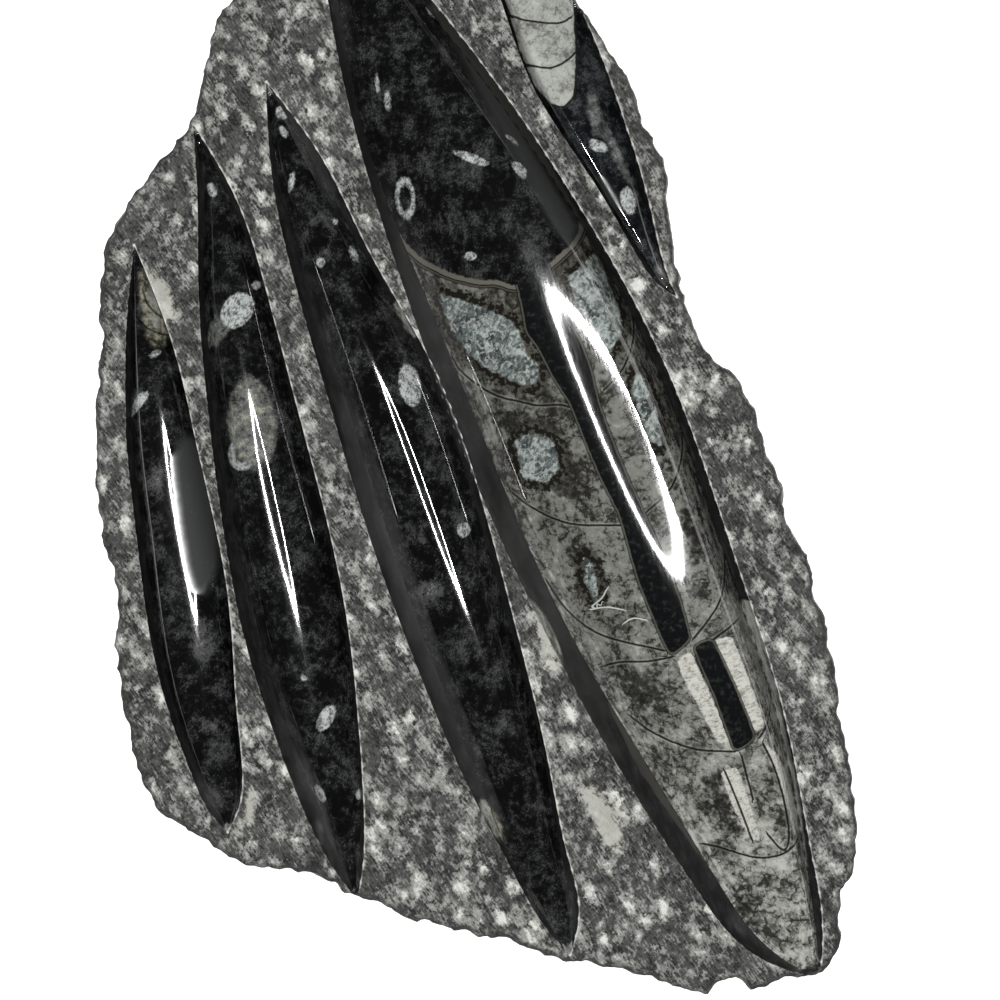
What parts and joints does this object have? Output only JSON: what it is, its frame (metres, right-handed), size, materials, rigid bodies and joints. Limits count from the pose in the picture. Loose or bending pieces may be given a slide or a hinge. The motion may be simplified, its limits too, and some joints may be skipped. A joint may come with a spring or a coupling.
{
  "type": "orthoceras fossil slab",
  "caption": "Free-form slab of dark limestone with spear-shaped orthoceras polished in relief out of the pecked rock; lies on its flat sawn back.",
  "frame": {"origin": "on the sawn back, in the middle of the slab's box", "axes": "+Z out of the carved face, +Y along the slab's length towards its narrow end, +X to the right seen from the carved face"},
  "size_m": [0.1918, 0.2964, 0.033],
  "materials": {
    "limestone": null
  },
  "bodies": {
    "root": {"orthoceras_slab": "limestone"}
  },
  "joints": []
}
